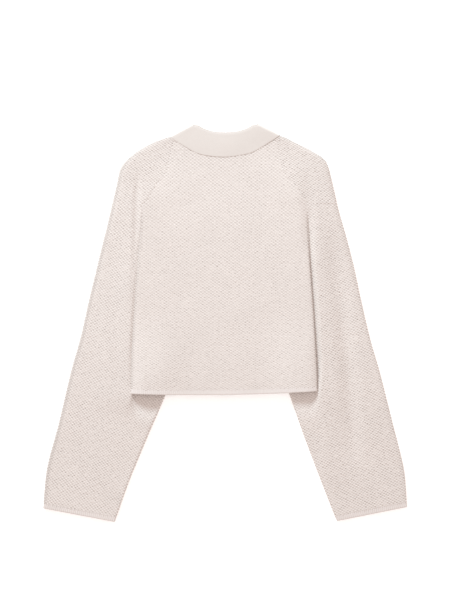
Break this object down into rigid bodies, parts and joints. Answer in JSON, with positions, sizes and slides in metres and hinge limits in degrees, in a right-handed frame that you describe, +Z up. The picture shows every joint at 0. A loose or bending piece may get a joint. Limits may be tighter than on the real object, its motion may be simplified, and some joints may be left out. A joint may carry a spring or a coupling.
{
  "type": "cropped cardigan",
  "caption": "Cropped cardigan in moss stitch with raglan sleeves, a folded collar and narrow ribbed edges, laid flat with its back upwards.",
  "frame": {"origin": "middle of the garment's outline, on the surface that it lies on", "axes": "+Z up from the surface, through the fronts and then the back; +Y from the hem to the neck; +X towards the wearer's right sleeve"},
  "size_m": [0.6902, 0.7564, 0.0199],
  "materials": {
    "moss_knit": "matte moss stitch knit in a cream yarn",
    "rib_knit": "matte one by one rib in the same yarn",
    "fine_knit": "smooth, close knit in the same yarn"
  },
  "bodies": {
    "root": {"back": "moss_knit", "hem_back": "rib_knit", "front_left": "moss_knit", "front_right": "moss_knit", "hem_front_left": "rib_knit", "hem_front_right": "rib_knit", "front_band_left": "rib_knit", "front_band_right": "rib_knit", "sleeve_left": "moss_knit", "sleeve_right": "moss_knit", "cuff_left": "rib_knit", "cuff_right": "rib_knit", "collar": "fine_knit"}
  },
  "joints": []
}
